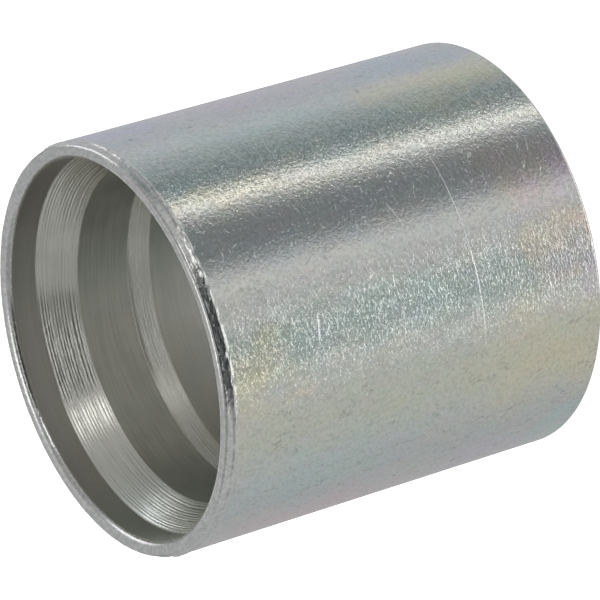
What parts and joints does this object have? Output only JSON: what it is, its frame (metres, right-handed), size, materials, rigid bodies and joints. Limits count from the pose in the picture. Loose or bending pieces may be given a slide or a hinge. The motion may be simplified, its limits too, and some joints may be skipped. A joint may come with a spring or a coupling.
{
  "type": "crimp hose ferrule",
  "caption": "Turned steel crimp sleeve for a wire-braided hydraulic hose, with a counterbored mouth, saw-tooth gripping rings inside and an inward locking collar.",
  "frame": {"origin": "centre of the collar end face, on which the ferrule stands", "axes": "+Z along the sleeve's axis, from the collar end to the mouth where the hose enters"},
  "size_m": [0.048, 0.048, 0.0507],
  "materials": {
    "zinc_plated_steel": "bright zinc plating with a thin passivated film, satin, with turning marks in the bore"
  },
  "bodies": {
    "root": {"ferrule": "zinc_plated_steel"}
  },
  "joints": []
}
